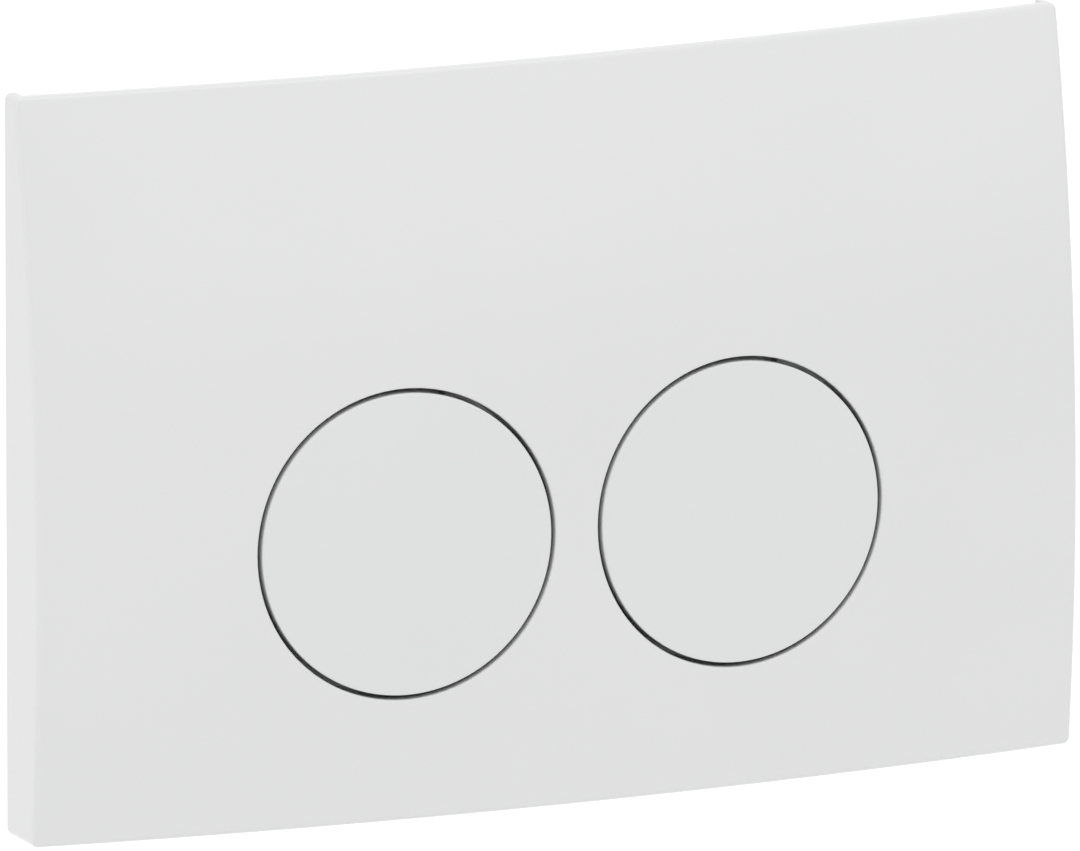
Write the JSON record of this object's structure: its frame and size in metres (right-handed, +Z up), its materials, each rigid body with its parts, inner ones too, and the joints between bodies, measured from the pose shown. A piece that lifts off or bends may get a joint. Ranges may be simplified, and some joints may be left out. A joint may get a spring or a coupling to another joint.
{
  "type": "flush button plate",
  "caption": "Bowed dual flush button plate with round hinged buttons, push rods and a wall frame for a concealed cistern.",
  "frame": {"origin": "middle of the plate's outline on the wall plane", "axes": "+X right seen from the front, +Y into the wall, +Z up"},
  "size_m": [0.246, 0.0888, 0.164],
  "materials": {
    "cover_plastic": "glossy white moulded plastic",
    "button_plastic": "glossy white moulded plastic",
    "frame_plastic": "fine spark grain",
    "lever_plastic": "satin moulded plastic",
    "rod_plastic": "satin moulded plastic",
    "bolt_plastic": "satin moulded plastic",
    "steel": "bright drawn wire",
    "buffer_rubber": "soft black"
  },
  "bodies": {
    "plate": {"cover_plate": "cover_plastic", "mounting_frame": "frame_plastic", "top_left_latch_spring": "steel", "top_right_latch_spring": "steel", "bottom_left_latch_spring": "steel", "bottom_right_latch_spring": "steel", "left_hinge_pin": "steel", "left_return_spring": "steel", "left_stop_buffer": "buffer_rubber", "left_rod_guide": "rod_plastic", "left_spacer_bolt": "bolt_plastic", "left_bolt_nut": "bolt_plastic", "right_hinge_pin": "steel", "right_return_spring": "steel", "right_stop_buffer": "buffer_rubber", "right_rod_guide": "rod_plastic", "right_spacer_bolt": "bolt_plastic", "right_bolt_nut": "bolt_plastic"},
    "left_button": {"left_button_cap": "button_plastic", "left_lever": "lever_plastic"},
    "left_rod": {"left_push_rod": "rod_plastic", "left_rod_head": "rod_plastic", "left_lock_nut": "rod_plastic"},
    "right_button": {"right_button_cap": "button_plastic", "right_lever": "lever_plastic"},
    "right_rod": {"right_push_rod": "rod_plastic", "right_rod_head": "rod_plastic", "right_lock_nut": "rod_plastic"}
  },
  "joints": [
    {"name": "left_button_press", "type": "hinge", "parent": "plate", "child": "left_button", "pos_m": [-0.0394, -0.0168, 0.0195], "axis": [1, 0, 0], "range_deg": [0, 5], "stiffness_Nm_per_rad": 1.2, "springref_deg": -6.88, "deforming": ["left_return_spring"]},
    {"name": "left_rod_slide", "type": "slide", "parent": "plate", "child": "left_rod", "axis": [0, 1, 0], "range_m": [0, 0.0056]},
    {"name": "right_button_press", "type": "hinge", "parent": "plate", "child": "right_button", "pos_m": [0.0394, -0.0168, 0.0195], "axis": [1, 0, 0], "range_deg": [0, 5], "stiffness_Nm_per_rad": 1.2, "springref_deg": -6.88, "deforming": ["right_return_spring"]},
    {"name": "right_rod_slide", "type": "slide", "parent": "plate", "child": "right_rod", "axis": [0, 1, 0], "range_m": [0, 0.0056]}
  ],
  "couplings": [
    {"joint": "left_rod_slide", "follows": "left_button_press", "m_per_rad": 0.064},
    {"joint": "right_rod_slide", "follows": "right_button_press", "m_per_rad": 0.064}
  ]
}
